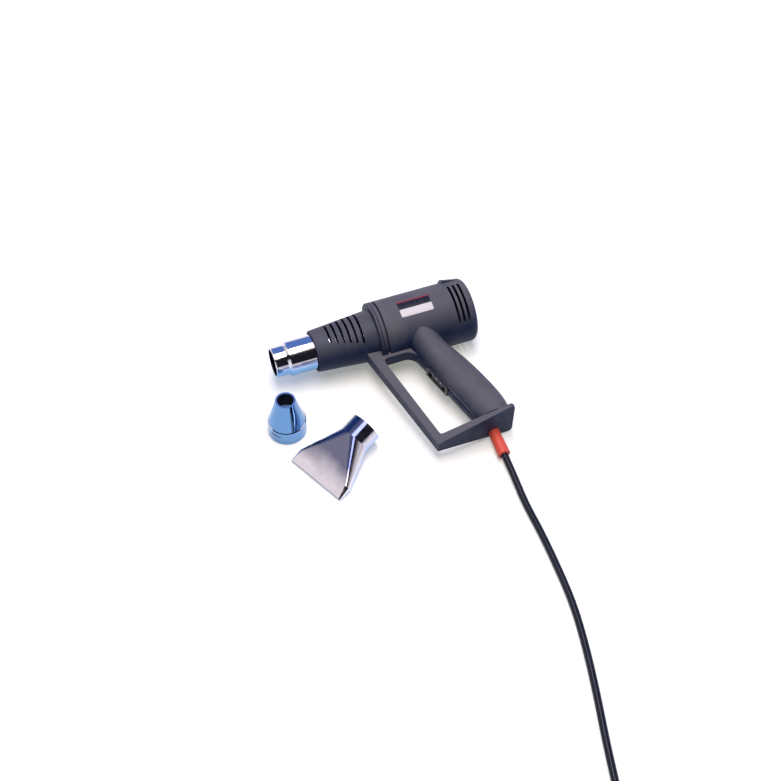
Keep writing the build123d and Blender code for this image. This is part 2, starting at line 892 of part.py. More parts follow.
# Motor mount: a spider between the can and the ribs of the case
mount_ring = 2.6
mount_rim = 2.0
mount_arm_count = 4
mount_arm_width = 3.4
mount_radius = housing_radius - case_wall - slip
with BuildPart() as motor_mount:
    with BuildSketch(station(mount_start)):
        Circle(mount_radius)
        Circle(mount_radius - mount_rim, mode=Mode.SUBTRACT)
        with PolarLocations((mount_radius + can_radius) / 2, mount_arm_count, start_angle=45):
            Rectangle(mount_radius - can_radius - mount_rim, mount_arm_width)
        Circle(can_radius + mount_ring)
        Circle(can_radius + slip, mode=Mode.SUBTRACT)
    extrude(amount=mount_width)
write(motor_mount, "motor_mount")

# Rectifier board on the rear of the motor, with its four diodes
board_radius = 13.0
board_thickness = 1.6
diode_radius = 1.5
diode_length = 6.0
diode_pitch = 4.6
diode_count = 4
board_start = can_end + cap_thickness
with BuildPart() as rectifier_board:
    with BuildSketch(station(board_start)):
        Circle(board_radius)
    extrude(amount=board_thickness)
    with BuildSketch(Plane.XY.offset(-diode_length / 2)):
        with Locations((board_start + board_thickness + diode_radius, 0)):
            with GridLocations(0, diode_pitch, 1, diode_count):
                Circle(diode_radius)
    extrude(amount=diode_length)
    with BuildSketch(station(board_start + board_thickness)):
        Rectangle(diode_pitch * (diode_count - 1) + diode_radius, diode_radius)
    extrude(amount=diode_radius)
write(rectifier_board, "rectifier_board")

# Switch: bezel, sliding knob with its grip ribs, and the body behind
slot_end_gap = gap + slip
with BuildPart() as switch_bezel:
    with BuildSketch(grip_front_plane(bezel_back)):
        with Locations((switch_middle, 0)):
            RectangleRounded(bezel_length, bezel_width, bezel_corner)
    extrude(amount=bezel_thickness)
    fillet(switch_bezel.faces().sort_by(Axis.X)[0].edges(), edge_radius / 2)
    with BuildSketch(grip_front_plane(bezel_back)):
        with Locations((switch_middle, 0)):
            RectangleRounded(
                slider_length + 2 * (slider_travel + slot_end_gap),
                slider_width + 2 * gap,
                bezel_corner / 2,
            )
    extrude(amount=bezel_thickness, mode=Mode.SUBTRACT)
write(switch_bezel, "switch_bezel")

with BuildPart() as switch_slider:
    with BuildSketch(grip_front_plane(slider_foot_depth)):
        with Locations((switch_middle, 0)):
            Rectangle(slider_length + 2 * slider_foot_end, slider_width + 2 * slider_foot_side)
    extrude(amount=slider_foot_thickness)
    with BuildSketch(grip_front_plane(slider_foot_depth)):
        with Locations((switch_middle, 0)):
            RectangleRounded(slider_length, slider_width, bezel_corner / 2)
    extrude(amount=slider_foot_depth + bezel_proud - slider_recess - slider_rib_height)
    with BuildSketch(grip_front_plane(slider_recess + slider_rib_height - bezel_proud)):
        with Locations((switch_middle, 0)):
            with GridLocations(slider_length / slider_rib_count, 0, slider_rib_count, 1):
                Rectangle(slider_rib_width, slider_width - 2 * bezel_corner)
    extrude(amount=slider_rib_height)
write(switch_slider, "switch_slider")

with BuildPart() as switch_body:
    with BuildSketch(grip_front_plane(switch_top)):
        with Locations((switch_middle, 0)):
            Rectangle(switch_neck_length, switch_neck_width)
    extrude(amount=-switch_neck_depth)
    with BuildSketch(grip_front_plane(switch_top + switch_neck_depth)):
        with Locations((switch_middle, 0)):
            Rectangle(switch_body_length, switch_body_width)
    extrude(amount=-switch_body_depth)
write(switch_body, "switch_body")

# Cord boot: a tapered sleeve with a flange behind the wall of the foot
boot_axis_plane = Plane(origin=(boot_x, -boot_wall_y, boot_side), x_dir=(0, -1, 0), z_dir=(0, 0, 1))
boot_inside = boot_wall_y - pocket_floor
with BuildPart() as cord_boot:
    with BuildSketch(boot_axis_plane):
        with BuildLine():
            Polyline(
                (-boot_inside, cord_radius + running),
                (-boot_inside, boot_neck_radius),
                (-boot_seat, boot_neck_radius),
                (-boot_seat, boot_root_radius),
                (boot_length - boot_edge, boot_end_radius),
                (boot_length, boot_end_radius - boot_edge),
                (boot_length, cord_radius + running),
                close=True,
            )
        make_face()
    revolve(axis=Axis((boot_x, -boot_wall_y, boot_side), (0, -1, 0)))
    with BuildSketch(boot_plane.offset(-boot_inside)):
        add(boot_flange_outline(0))
        Circle(cord_radius + running, mode=Mode.SUBTRACT)
    extrude(amount=-boot_flange)
write(cord_boot, "cord_boot")

# Inner end of the cord, through the boot and under the clamp
tail_end_y = pocket_floor - cord_tail_inside
with BuildPart() as cord_tail:
    with BuildSketch(boot_plane.offset(boot_length)):
        Circle(cord_radius)
    extrude(amount=-(boot_length + boot_wall_y - tail_end_y))
write(cord_tail, "cord_tail")

with BuildPart() as cord_clamp:
    with BuildSketch(Plane.XY.offset(clamp_z)):
        with Locations((boot_x, clamp_y)):
            RectangleRounded(clamp_length, clamp_width, clamp_width / 3)
        with Locations(*clamp_points):
            Circle(clamp_shank_radius + slip, mode=Mode.SUBTRACT)
    extrude(amount=clamp_thickness)
    with BuildSketch(boot_plane):
        Circle(cord_radius + running)
    extrude(amount=-cut, mode=Mode.SUBTRACT)
write(cord_clamp, "cord_clamp")

with BuildPart() as clamp_screws:
    with BuildSketch(Plane.XY.offset(clamp_z + clamp_thickness)):
        with Locations(*clamp_points):
            Circle(clamp_head_radius)
    extrude(amount=clamp_head_height)
    with BuildSketch(Plane.XY.offset(clamp_z + clamp_thickness)):
        with Locations(*clamp_points):
            Circle(clamp_shank_radius)
    extrude(amount=slip - clamp_thickness - clamp_shank_length)
write(clamp_screws, "clamp_screws")

# Cone nozzle, standing on its collar: a slit collar, a bead and a long taper
cone_height = 49.0
cone_mouth_radius = 10.4
cone_sheet = 0.9
collar_height = 17.0
bead_inset = 0.8
shoulder_radius = 17.4
shoulder_top = 24.0
collar_slit_width = 1.6
collar_slit_height = 10.6
collar_slit_angle = 34.0
collar_slit_count = 3
collar_slit_start = 200.0
cone_rest = Location((cone_x - middle_x, cone_y - middle_y, 0))
with BuildPart() as cone_nozzle:
    with BuildSketch(Plane.XZ):
        with BuildLine():
            Polyline(
                (cone_collar_radius - cone_sheet, 0),
                (cone_collar_radius, 0),
                (cone_collar_radius, collar_height),
                (cone_collar_radius - bead_inset, collar_height + bead_inset),
                (shoulder_radius, shoulder_top),
                (cone_mouth_radius, cone_height),
                (cone_mouth_radius - 2 * cone_sheet, cone_height),
                (cone_mouth_radius - 2 * cone_sheet, cone_height - cone_sheet),
                (shoulder_radius - cone_sheet, shoulder_top - cone_sheet / 2),
                (cone_collar_radius - bead_inset - cone_sheet, collar_height),
                (cone_collar_radius - cone_sheet, collar_height - bead_inset),
                close=True,
            )
        make_face()
    revolve(axis=Axis.Z)
    for index in range(collar_slit_count):
        first = collar_slit_start + index * 360 / collar_slit_count
        with BuildSketch(Plane.XY.offset(collar_slit_height)):
            with BuildLine():
                reach = 2 * cone_collar_radius
                Polyline(
                    (0, 0),
                    (reach * cos(radians(first)), reach * sin(radians(first))),
                    (
                        reach * cos(radians(first + collar_slit_angle)),
                        reach * sin(radians(first + collar_slit_angle)),
                    ),
                    close=True,
                )
            make_face()
        extrude(amount=collar_slit_width, mode=Mode.SUBTRACT)
write(cone_nozzle, "cone_nozzle", cone_rest)

# Fishtail nozzle: a round socket flattened to a wide thin slot. Its own X runs from the slot
# to the socket, its Y across the fan
fan_thickness = 3.8
fan_lip = 14.0
fan_length = 57.0
fishtail_length = 76.0
socket_radius = 17.35
fishtail_sheet = 0.9
heel_lap = 1.0
facet_share = 0.985
heel_thickness = 2 * socket_radius * facet_share
fan_lip_thickness = fan_thickness + (heel_thickness - fan_thickness) * fan_lip / fan_length
fishtail_tilt = degrees(atan((socket_radius - fan_thickness / 2) / fan_length))
fan_rest_z = fan_thickness / 2 * cos(radians(fishtail_tilt))
fishtail_rest = Location(
    (fishtail_x - middle_x, fishtail_y - middle_y, fan_rest_z),
    (0, 0, fishtail_turn),
) * Location((0, 0, 0), (0, -fishtail_tilt, 0))


def fan_section(x, width, thickness):
    """Flat-sided oval section of the fan, square to its axis."""
    with BuildSketch(station(x)) as section:
        SlotOverall(width, thickness)
    return section.sketch


def fishtail_form(inset, overrun):
    """Solid of the nozzle, drawn in by the thickness of the sheet for its inside."""
    mouth = fan_section(-overrun, fan_width - 2 * inset, fan_thickness - 2 * inset)
    lip = fan_section(fan_lip, fan_width - 2 * inset, fan_lip_thickness - 2 * inset)
    round_width = 2 * (socket_radius - inset)
    heel = fan_section(fan_length, round_width, round_width * facet_share)
    with BuildPart() as form:
        loft((mouth, lip), ruled=True)
        loft((lip, heel), ruled=True)
        with BuildSketch(station(fan_length - heel_lap)):
            Circle(socket_radius - inset)
        extrude(amount=fishtail_length - fan_length + heel_lap + overrun)
    return form.part


fishtail_solid = fishtail_form(0, 0)
fishtail_inside = fishtail_form(fishtail_sheet, slip)
with BuildPart() as fishtail_nozzle:
    add(fishtail_solid)
    add(fishtail_inside, mode=Mode.SUBTRACT)
write(fishtail_nozzle, "fishtail_nozzle", fishtail_rest)

# Mains cord on the floor: points of its route in plan, from the boot to the coil
cord_lie = cord_radius + slip
cord_drop = 24.0
cord_route = (
    (95.2, -165.9),
    (96.4, -203.9),
    (94.8, -245.9),
    (91.3, -289.9),
    (83.8, -335.9),
    (73.3, -383.9),
    (60.8, -433.9),
    (50.3, -481.9),
    (41.8, -523.9),
)
bend_share = 0.45
origin_place = Location((0, 0, 0))
cord_exit = (gun_rest * Location((boot_x, -boot_wall_y - boot_length, boot_side))).position
cord_drop_end = (
    gun_rest * Location((boot_x, -boot_wall_y - boot_length - cord_drop, boot_side))
).position
cord_points = [cord_exit, cord_drop_end, *(Vector(x, y, cord_lie) for x, y in cord_route)]


def bend_radii(points):
    """Radius of each corner: a share of its shorter run over the tangent of the half turn."""
    radii = []
    for before, corner, after in zip(points, points[1:], points[2:]):
        arriving = corner - before
        leaving = after - corner
        half_turn = radians(arriving.get_angle(leaving)) / 2
        radii.append(bend_share * min(arriving.length, leaving.length) / tan(half_turn))
    return radii


def tube_along(path):
    """Round cord swept along a path, from its first end."""
    start = path.position_at(0)
    with BuildPart() as tube:
        with BuildSketch(Plane(origin=start, z_dir=path.tangent_at(0))) as section:
            Circle(cord_radius)
        sweep(section.sketch, path=path)
    share = tube.part.volume / (pi * cord_radius**2 * path.length)
    print(f"cord piece: length {path.length:.1f}, volume over section times length {share:.4f}")
    return tube


cord_radii = bend_radii(cord_points)
print("cord bend radii", [round(radius, 1) for radius in cord_radii])
with BuildLine() as cord_path:
    FilletPolyline(*cord_points, radius=cord_radii)
cord_run = tube_along(cord_path.wire())
write(cord_run, "cord_run", origin_place)

# Spare length wound as a loose coil in two layers, inwards below and outwards above
coil_radius = 52.0
coil_gap = 0.9
coil_layer_gap = 0.6
coil_half_turns = 4
coil_step = (cord_diameter + coil_gap) / 2
coil_radii = [coil_radius - index * coil_step for index in range(coil_half_turns)]
coil_middle_radius = coil_radius - coil_half_turns * coil_step
coil_rise = cord_diameter + coil_layer_gap
coil_joint = cord_points[-1]
coil_heading = (cord_points[-1] - cord_points[-2]).normalized()


def coil_point(ahead, right, rise=0.0):
    """Point of the coil, ahead of its joint, to the right of it and above its lower layer."""
    return (
        coil_joint.X + ahead * coil_heading.X + right * coil_heading.Y,
        coil_joint.Y + ahead * coil_heading.Y - right * coil_heading.X,
        coil_joint.Z + rise,
    )


coil_top_radii = tuple(reversed(coil_radii))
climb_reach = sqrt(coil_middle_radius**2 + (coil_rise / 2) ** 2)
side = 0.0
side_sign = 1
with BuildLine() as coil_path:
    Line(coil_point(0, 0), coil_point(cord_diameter, 0))
    for radius in coil_radii:
        middle = side + side_sign * radius
        ThreePointArc(
            coil_point(cord_diameter, side),
            coil_point(cord_diameter + side_sign * radius, middle),
            coil_point(cord_diameter, middle + side_sign * radius),
        )
        side = middle + side_sign * radius
        side_sign = -side_sign
    climb_start = coil_point(cord_diameter, side)
    climb_middle = coil_point(
        cord_diameter + side_sign * climb_reach, side + side_sign * coil_middle_radius, coil_rise / 2
    )
    side = side + 2 * side_sign * coil_middle_radius
    climb_end = coil_point(cord_diameter, side, coil_rise)
    ahead_way = coil_heading * side_sign
    TangentArc(climb_start, climb_middle, tangent=ahead_way)
    TangentArc(climb_end, climb_middle, tangent=ahead_way)
    side_sign = -side_sign
    for radius in coil_top_radii[:-1]:
        middle = side + side_sign * radius
        ThreePointArc(
            coil_point(cord_diameter, side, coil_rise),
            coil_point(cord_diameter + side_sign * radius, middle, coil_rise),
            coil_point(cord_diameter, middle + side_sign * radius, coil_rise),
        )
        side = middle + side_sign * radius
        side_sign = -side_sign
    quarter = coil_top_radii[-1]
    quarter_share = sin(radians(45))
    ThreePointArc(
        coil_point(cord_diameter, side, coil_rise),
        coil_point(
            cord_diameter + quarter * quarter_share, side + quarter * (1 - quarter_share), coil_rise
        ),
        coil_point(cord_diameter + quarter, side + quarter, coil_rise),
    )
    Line(
        coil_point(cord_diameter + quarter, side + quarter, coil_rise),
        coil_point(cord_diameter + quarter, side + quarter + cord_diameter, coil_rise),
    )
coil_wire = coil_path.wire()
cord_coil = tube_along(coil_wire)
write(cord_coil, "cord_coil", origin_place)

# Least gap of the coil to itself, from points spaced evenly along it
coil_steps = 1200
steps_apart = int(coil_steps * 3 * cord_diameter / coil_wire.length)
coil_samples = [
    tuple(coil_wire.position_at(index / coil_steps)) for index in range(coil_steps + 1)
]
least_square = min(
    (a[0] - b[0]) ** 2 + (a[1] - b[1]) ** 2 + (a[2] - b[2]) ** 2
    for index, a in enumerate(coil_samples)
    for b in coil_samples[index + steps_apart :]
)
print("least gap between turns of the coil", round(sqrt(least_square) - cord_diameter, 3))

# Last free length of the cord, from the coil to the plug
end_steps = ((0, 0), (0, 16.5), (3.5, 33.5), (8.0, 45.5))
end_points = [
    Vector(
        coil_point(
            cord_diameter + quarter + outward,
            side + quarter + cord_diameter + along,
            coil_rise,
        )
    )
    for outward, along in end_steps
]
end_radii = bend_radii(end_points)
print("cord end bend radii", [round(radius, 1) for radius in end_radii])
with BuildLine() as end_path:
    FilletPolyline(*end_points, radius=end_radii)
cord_end = tube_along(end_path.wire())
write(cord_end, "cord_end", origin_place)

# Moulded plug with its strain relief, two flat blades and a round ground pin, lying on its side
relief_length = 22.0
relief_root = 4.9
relief_head = 6.8
plug_width = 30.0
plug_length = 27.0
plug_shift = 2.8
plug_corner = 5.0
blade_spacing = 12.7
blade_width = 6.35
blade_thickness_metal = 1.5
blade_length = 16.5
blade_embed = 6.0
pin_radius = 2.4
pin_offset = 11.9
pin_length = 19.0
plug_heading = (end_points[-1] - end_points[-2]).normalized()
plug_plane = Plane(
    origin=end_points[-1],
    x_dir=(-plug_heading.Y, plug_heading.X, 0),
    z_dir=plug_heading,
)
plug_half_height = cord_lie + coil_rise - slip
face_plane = plug_plane.offset(relief_length + plug_length)
with BuildPart() as plug_body:
    with BuildSketch(plug_plane):
        Circle(relief_root)
    with BuildSketch(plug_plane.offset(relief_length)):
        Circle(relief_head)
    loft()
    with BuildSketch(plug_plane.offset(relief_length)):
        with Locations((plug_shift, 0)):
            RectangleRounded(plug_width, 2 * plug_half_height, plug_corner)
    extrude(amount=plug_length)
    with BuildSketch(face_plane):
        with GridLocations(0, blade_spacing, 1, 2):
            Rectangle(blade_width, blade_thickness_metal)
        with Locations((pin_offset, 0)):
            Circle(pin_radius)
    extrude(amount=-blade_embed, mode=Mode.SUBTRACT)
write(plug_body, "plug_body", origin_place)

with BuildPart() as plug_blades:
    with BuildSketch(face_plane.offset(-blade_embed)):
        with GridLocations(0, blade_spacing, 1, 2):
            Rectangle(blade_width, blade_thickness_metal)
    extrude(amount=blade_embed + blade_length)
write(plug_blades, "plug_blades", origin_place)

with BuildPart() as ground_pin:
    with BuildSketch(face_plane.offset(-blade_embed)):
        with Locations((pin_offset, 0)):
            Circle(pin_radius)
    extrude(amount=blade_embed + pin_length)
    fillet(ground_pin.edges().group_by(Axis(face_plane.origin, plug_heading))[-1], pin_radius / 2)
write(ground_pin, "ground_pin", origin_place)
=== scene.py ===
import json
from math import atan2, cos, pi, sin

import bmesh
import bpy
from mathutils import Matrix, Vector


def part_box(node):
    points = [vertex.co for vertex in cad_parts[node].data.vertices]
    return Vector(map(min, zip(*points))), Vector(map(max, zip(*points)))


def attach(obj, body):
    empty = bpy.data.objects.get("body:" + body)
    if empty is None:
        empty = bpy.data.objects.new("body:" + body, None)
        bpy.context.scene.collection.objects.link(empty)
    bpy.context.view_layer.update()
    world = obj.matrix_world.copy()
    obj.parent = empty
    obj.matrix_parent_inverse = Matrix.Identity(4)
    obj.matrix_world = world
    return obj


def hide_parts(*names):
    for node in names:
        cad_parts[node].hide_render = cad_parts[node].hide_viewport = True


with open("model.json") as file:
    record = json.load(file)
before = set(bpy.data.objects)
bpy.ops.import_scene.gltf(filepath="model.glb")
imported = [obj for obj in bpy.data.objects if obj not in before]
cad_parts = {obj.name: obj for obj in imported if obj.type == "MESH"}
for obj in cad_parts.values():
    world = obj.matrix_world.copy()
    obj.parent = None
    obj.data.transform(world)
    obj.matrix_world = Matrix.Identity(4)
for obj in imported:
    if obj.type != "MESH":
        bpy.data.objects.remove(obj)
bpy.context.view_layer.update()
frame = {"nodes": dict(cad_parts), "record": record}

# Camera: the photograph looks down on the bench at about fifty degrees, from the
# handle's side and a little towards the outlet, with a long lens.
camera_place = Vector((-0.3568, -1.0095, 1.4201))
camera_target = Vector((0.0150, 0.0148, 0.0))
camera = bpy.data.objects.new("camera", bpy.data.cameras.new("camera"))
camera.data.lens = 78.46
camera.data.sensor_fit = "HORIZONTAL"
camera.data.sensor_width = 36.0
camera.location = camera_place
camera.rotation_euler = (camera_target - camera_place).to_track_quat("-Z", "Y").to_euler()
bpy.context.scene.collection.objects.link(camera)
bpy.context.scene.camera = camera
bpy.context.scene.view_settings.view_transform = "Standard"


# Mains cord: a round three-core lead in black rubber. It leaves the boot, drops to the
# bench, runs out of view in one slack curve, and its spare length is coiled in two layers.
cord_radius = 0.00375
cord_lie = 0.00385
cord_exit = (0.09395, -0.10892, 0.00871)
cord_drop = (0.09395, -0.13286, 0.00701)
cord_route = (
    (0.0926, -0.1659),
    (0.0940, -0.2039),
    (0.0934, -0.2459),
    (0.0913, -0.2899),
    (0.0838, -0.3359),
    (0.0733, -0.3839),
    (0.0608, -0.4339),
    (0.0503, -0.4819),
    (0.0418, -0.5239),
)
coil_radii = (0.0520, 0.0478, 0.0436, 0.0394, 0.0352, 0.0394, 0.0436, 0.0478)
coil_last_radius = 0.0520
coil_layer = 0.0081
coil_points_a_half = 8
coil_joint = Vector((*cord_route[-1], cord_lie))
coil_heading = (Vector(cord_route[-1]) - Vector(cord_route[-2])).normalized()


def coil_place(ahead, right, rise):
    """Point ahead of the coil's joint and to its right, above the lower layer."""
    return (
        coil_joint.x + ahead * coil_heading.x + right * coil_heading.y,
        coil_joint.y + ahead * coil_heading.y - right * coil_heading.x,
        coil_joint.z + rise,
    )


# The coil is laid in half turns of changing radius. The middle one climbs to the upper layer,
# and the last is a quarter turn. The spline cuts inside its corners, so they stand further out.
route = [cord_exit, cord_drop] + [(x, y, cord_lie) for x, y in cord_route]
lead_in = 2 * cord_radius
side, sense = 0.0, 1
climbing_half = len(coil_radii) // 2
corner_reach = 1 / (0.75 + 0.25 * cos(pi / coil_points_a_half))
for half, radius in enumerate(coil_radii + (coil_last_radius,)):
    middle = side + sense * radius
    reach = radius * corner_reach
    count = coil_points_a_half if half < len(coil_radii) else coil_points_a_half // 2
    for index in range(count):
        share = (index + 0.5) / coil_points_a_half
        swing = share * pi
        rise = 0.0
        if half == climbing_half:
            rise = coil_layer * share * share * (3 - 2 * share)
        if half > climbing_half:
            rise = coil_layer
        ahead = lead_in + sense * reach * sin(swing)
        right = middle - sense * reach * cos(swing)
        route.append(coil_place(ahead, right, rise))
    side, sense = middle + sense * radius, -sense
tail_ahead = lead_in + coil_last_radius
tail_steps = ((0.0, 0.0595), (0.0, 0.0760), (0.0035, 0.0930), (0.0080, 0.1050))
route += [coil_place(tail_ahead + ahead, right, coil_layer) for ahead, right in tail_steps]

# A bevel of one metre leaves the tube's radius to the points.
cord_curve = bpy.data.curves.new("mains_cord", "CURVE")
cord_curve.dimensions = "3D"
cord_curve.bevel_depth = 1.0
cord_curve.bevel_resolution = 7
cord_curve.resolution_u = 8
spline = cord_curve.splines.new("NURBS")
spline.points.add(len(route) - 1)
for point, place in zip(spline.points, route):
    point.co = (*place, 1.0)
    point.radius = cord_radius
spline.order_u = 3
spline.use_endpoint_u = True
mains_cord = bpy.data.objects.new("mains_cord", cord_curve)
bpy.context.scene.collection.objects.link(mains_cord)
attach(mains_cord, "gun")
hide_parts("cord_run", "cord_coil", "cord_end")


# Moulded surface, first needed for the cord's rubber: the spark-eroded grain of plastic and
# rubber, patchy gloss where hands have polished it, pale dust that lies in soft clouds, and a
# pale painted highlight on what faces up.
grain_height = 0.0002


def new_finish(name):
    """Material with a shader of its own, and the node tree that holds it."""
    finish = bpy.data.materials.new(name)
    finish.use_nodes = True
    return finish, finish.node_tree, finish.node_tree.nodes["Principled BSDF"]


def add_node(tree, kind, **settings):
    """Node of one kind in a tree, with its settings."""
    node = tree.nodes.new(kind)
    for key, value in settings.items():
        setattr(node, key, value)
    return node


def feed(tree, socket, value):
    """Give a socket a plain value, or what another socket puts out."""
    if isinstance(value, bpy.types.NodeSocket):
        tree.links.new(value, socket)
    else:
        socket.default_value = value


def noise(tree, place, scale, detail=2.0, roughness=0.5):
    """Noise read at a place in the object's own frame."""
    node = add_node(tree, "ShaderNodeTexNoise")
    feed(tree, node.inputs["Vector"], place)
    feed(tree, node.inputs["Scale"], scale)
    feed(tree, node.inputs["Detail"], detail)
    feed(tree, node.inputs["Roughness"], roughness)
    return node.outputs["Fac"]


def spread(tree, value, low, high, start=0.0, end=1.0):
    """Stretch a value from one range to another, held at its ends."""
    node = add_node(tree, "ShaderNodeMapRange", clamp=True)
    feed(tree, node.inputs["Value"], value)
    feed(tree, node.inputs["From Min"], low)
    feed(tree, node.inputs["From Max"], high)
    feed(tree, node.inputs["To Min"], start)
    feed(tree, node.inputs["To Max"], end)
    return node.outputs["Result"]


def combine(tree, operation, *values):
    """One sum on values, each a socket or a number."""
    node = add_node(tree, "ShaderNodeMath", operation=operation)
    for socket, value in zip(node.inputs, values):
        feed(tree, socket, value)
    return node.outputs["Value"]


def part_of(tree, vector, axis):
    """One part of a vector, X, Y or Z."""
    node = add_node(tree, "ShaderNodeSeparateXYZ")
    feed(tree, node.inputs["Vector"], vector)
    return node.outputs[axis]


def blend_colours(tree, share, first, second):
    """Mix two colours, each a socket or a plain colour."""
    node = add_node(tree, "ShaderNodeMix", data_type="RGBA")
    mix_share, mix_first, mix_second, mix_result = 0, 6, 7, 2
    feed(tree, node.inputs[mix_share], share)
    feed(tree, node.inputs[mix_first], first)
    feed(tree, node.inputs[mix_second], second)
    return node.outputs[mix_result]


def bump(tree, height, strength, distance):
    """Normal from a height, with a strength from 0 to 1 and a depth in metres."""
    node = add_node(tree, "ShaderNodeBump")
    feed(tree, node.inputs["Height"], height)
    feed(tree, node.inputs["Strength"], strength)
    feed(tree, node.inputs["Distance"], distance)
    return node.outputs["Normal"]


def new_surface(name, vectors, colours, values):
    """Shared surface: a node group with named inputs, and the sockets that it is given."""
    tree = bpy.data.node_groups.new(name, "ShaderNodeTree")
    for kind, titles in (("Vector", vectors), ("Color", colours), ("Float", values)):
        for title in titles:
            tree.interface.new_socket(title, in_out="INPUT", socket_type="NodeSocket" + kind)
    for title, kind in (("Colour", "Color"), ("Roughness", "Float"), ("Normal", "Vector")):
        tree.interface.new_socket(title, in_out="OUTPUT", socket_type="NodeSocket" + kind)
    return tree, tree.nodes.new("NodeGroupInput").outputs


def put_out(tree, **made):
    """Hand on the colour, roughness and normal that a shared surface makes."""
    out = tree.nodes.new("NodeGroupOutput")
    for title, socket in made.items():
        tree.links.new(socket, out.inputs[title])


def surfaced(name, shared, **values):
    """Material with a shared surface in it, placed with values of its own."""
    finish, tree, shader = new_finish(name)
    where = add_node(tree, "ShaderNodeTexCoord")
    surface = add_node(tree, "ShaderNodeGroup", node_tree=shared)
    for key, value in values.items():
        surface.inputs[key.replace("_", " ")].default_value = value
    tree.links.new(where.outputs["Object"], surface.inputs["Place"])
    if "Facing" in surface.inputs:
        tree.links.new(where.outputs["Normal"], surface.inputs["Facing"])
    tree.links.new(surface.outputs["Colour"], shader.inputs["Base Color"])
    tree.links.new(surface.outputs["Roughness"], shader.inputs["Roughness"])
    tree.links.new(surface.outputs["Normal"], shader.inputs["Normal"])
    return finish, shader


moulded, given = new_surface(
    "moulded_surface",
    vectors=("Place", "Facing"),
    colours=("Colour", "Rubbed"),
    values=("Dust", "Grain scale", "Grain depth", "Gloss", "Dull"),
)
clouds = noise(moulded, given["Place"], scale=28.0, detail=4.0, roughness=0.6)
patches = noise(moulded, given["Place"], scale=75.0, detail=5.0, roughness=0.65)
grain = noise(moulded, given["Place"], scale=given["Grain scale"], detail=3.0)
# Painted highlight: faces that turn up are blended towards the pale colour. The soft clouds of it
# are dust.
facing_up = spread(moulded, part_of(moulded, given["Facing"], "Z"), low=0.35, high=0.98)
cloud_share = spread(moulded, clouds, low=0.42, high=0.72, start=0.0, end=0.35)
pale_share = combine(moulded, "MULTIPLY_ADD", facing_up, given["Dust"], cloud_share)
put_out(
    moulded,
    Colour=blend_colours(moulded, pale_share, given["Colour"], given["Rubbed"]),
    Roughness=spread(moulded, patches, low=0.3, high=0.7, start=given["Gloss"], end=given["Dull"]),
    Normal=bump(moulded, grain, strength=given["Grain depth"], distance=grain_height),
)


def moulded_finish(name, colour, pale_tone, grain, depth, gloss, dull, level=0.5, top_highlight=0.0):
    """Plastic or rubber with the shared moulded surface, and a painted highlight on upward faces as
    strong as the last value.
    """
    finish, shader = surfaced(
        name,
        moulded,
        Colour=(*colour, 1),
        Rubbed=(*pale_tone, 1),
        Grain_scale=grain,
        Grain_depth=depth,
        Gloss=gloss,
        Dull=dull,
        Dust=top_highlight,
    )
    shader.inputs["Specular IOR Level"].default_value = level
    return finish


def dress(finish, *names):
    """Give carried-over pieces one finish."""
    for name in names:
        slots = frame["nodes"][name].data.materials
        slots.clear()
        slots.append(finish)


# Jacket of the cord: black rubber, smooth and a little glossy from the die that it is
# pressed through. The stretch that is clamped inside the foot has the same jacket.
cord_rubber = moulded_finish(
    "cord_rubber",
    (0.006, 0.008, 0.018),
    (0.012, 0.014, 0.028),
    grain=2600.0, depth=0.12, gloss=0.18, dull=0.32, level=0.25,
)
cord_curve.materials.append(cord_rubber)
dress(cord_rubber, "cord_tail", "cord_run", "cord_coil", "cord_end")


# Bench: a white paper sheet, rolled out wide, that takes the shadows. The camera, gloss and
# glass see it lit from within, and the light that it throws back on the tool is cool.
bench_width = 30.0
bench_drop = 0.0002
paper_thin = (0.94, 0.94, 0.94, 1)
paper_thick = (0.96, 0.96, 0.955, 1)
paper_glow = (0.28, 0.285, 0.25, 1)
cool_bounce = (0.20, 0.30, 0.56, 1)
no_glow = (0, 0, 0, 1)
bpy.ops.mesh.primitive_plane_add(size=bench_width, location=(0, 0, -bench_drop))
bench = bpy.context.object
bench.name = "bench"
bench_finish, tree, shader = new_finish("bench_paper")
where = add_node(tree, "ShaderNodeTexCoord")
fibres = noise(tree, where.outputs["Object"], scale=60.0, detail=4.0)
thickness = spread(tree, fibres, low=0.3, high=0.7)
paper = blend_colours(tree, thickness, paper_thin, paper_thick)
rays = add_node(tree, "ShaderNodeLightPath").outputs
mirrored = combine(tree, "MAXIMUM", rays["Is Glossy Ray"], rays["Is Transmission Ray"])
seen = combine(tree, "MAXIMUM", rays["Is Camera Ray"], mirrored)
feed(tree, shader.inputs["Base Color"], blend_colours(tree, seen, cool_bounce, paper))
feed(tree, shader.inputs["Emission Color"], blend_colours(tree, seen, no_glow, paper_glow))
shader.inputs["Emission Strength"].default_value = 1.0
shader.inputs["Roughness"].default_value = 0.9
shader.inputs["Specular IOR Level"].default_value = 0.1
bench.data.materials.append(bench_finish)


# Studio: a blue wall far behind the bench, pale walls at its sides, a dark one behind the
# camera, and a pale band low down all round. One warm soft box hangs over the tool.
near_wall = Vector((-0.35, -0.94, 0.0))
far_blue = (0.12, 0.24, 0.66, 1)
near_dark = (0.015, 0.015, 0.022, 1)
wall_stops = (
    (0.00, far_blue),
    (0.26, far_blue),
    (0.36, (0.95, 0.88, 0.92, 1)),
    (0.58, (0.92, 0.85, 0.89, 1)),
    (0.65, near_dark),
    (1.00, near_dark),
)
low_band = (0.80, 0.85, 0.95, 1)
soft_box_rise = 1.30
soft_box_shift = 0.07
soft_box_reach = 1.19
soft_box_width = 0.42
soft_box_watts = 13.0
soft_box_tint = (1.0, 0.93, 0.92)


def along_axis(tree, vector, axis):
    """How far a vector goes along an axis."""
    node = add_node(tree, "ShaderNodeVectorMath", operation="DOT_PRODUCT")
    for socket, value in zip(node.inputs, (vector, axis)):
        feed(tree, socket, value)
    return node.outputs["Value"]


